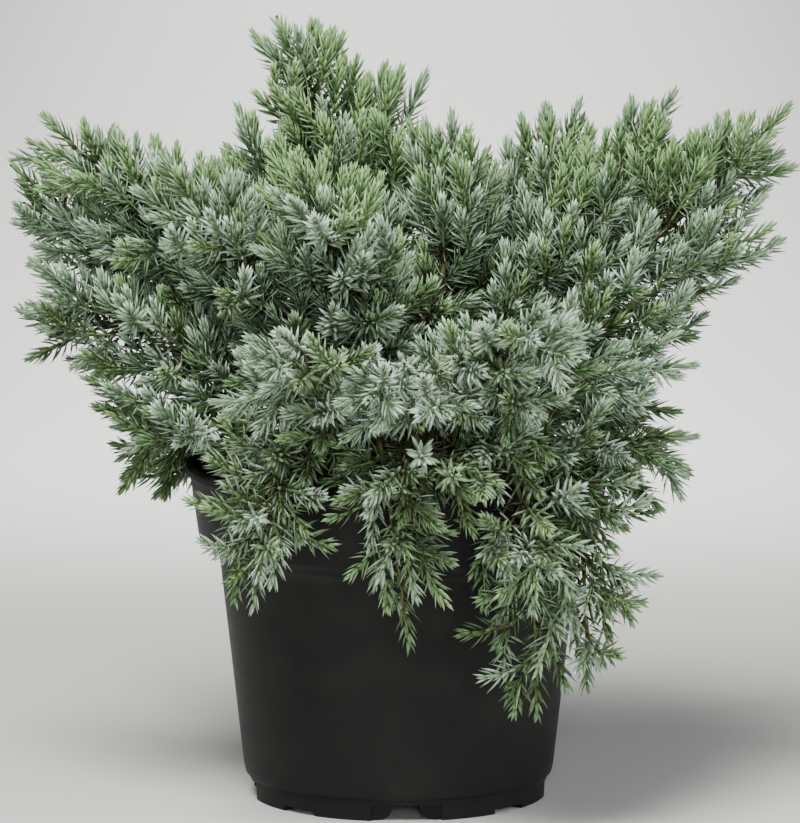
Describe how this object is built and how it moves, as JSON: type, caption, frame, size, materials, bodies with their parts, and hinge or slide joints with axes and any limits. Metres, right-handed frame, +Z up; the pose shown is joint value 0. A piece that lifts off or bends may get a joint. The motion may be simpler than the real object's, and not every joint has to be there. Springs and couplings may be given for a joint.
{
  "type": "potted dwarf juniper",
  "caption": "Low, dense blue-green juniper shrub with upswept and weeping sprays of short sharp needles, standing in a black plastic nursery pot.",
  "frame": {"origin": "centre of the pot's foot circle, on the surface that the pot stands on", "axes": "+Z up along the pot's axis, -Y towards the front, where the longest sprays hang over the rim, +X to the right seen from the front"},
  "size_m": [0.3529, 0.309, 0.349],
  "materials": {
    "pot_plastic": "satin black moulded polypropylene",
    "peat": "moist dark peat",
    "bark": "flaking brown bark",
    "needles": "waxy blue-green needles"
  },
  "bodies": {
    "root": {"back_left": "needles", "back_left_bough": "bark", "back_left_low": "needles", "back_left_low_bough": "bark", "back_middle": "needles", "back_middle_bough": "bark", "back_right": "needles", "back_right_bough": "bark", "back_right_low": "needles", "back_right_low_bough": "bark", "crown_back": "needles", "crown_back_bough": "bark", "crown_front": "needles", "crown_front_bough": "bark", "crown_left": "needles", "crown_left_bough": "bark", "crown_right": "needles", "crown_right_bough": "bark", "crown_spire": "needles", "front_left": "needles", "front_left_bough": "bark", "front_low": "needles", "front_low_bough": "bark", "front_middle": "needles", "front_middle_bough": "bark", "front_right": "needles", "front_right_bough": "bark", "left_arm": "needles", "left_arm_bough": "bark", "left_hem": "needles", "left_hem_bough": "bark", "left_low": "needles", "left_low_bough": "bark", "left_point": "needles", "left_point_bough": "bark", "left_shelf": "needles", "left_shelf_bough": "bark", "pot": "pot_plastic", "potting_soil": "peat", "right_arm": "needles", "right_arm_bough": "bark", "right_hem": "needles", "right_hem_bough": "bark", "right_low": "needles", "right_low_bough": "bark", "right_peak": "needles", "right_peak_bough": "bark", "right_shelf": "needles", "right_shelf_bough": "bark", "right_side": "needles", "right_side_bough": "bark", "trunk": "bark", "weeping_front": "needles", "weeping_front_bough": "bark", "weeping_left": "needles", "weeping_left_bough": "bark", "weeping_middle": "needles", "weeping_middle_bough": "bark", "weeping_right": "needles", "weeping_right_bough": "bark"}
  },
  "joints": []
}
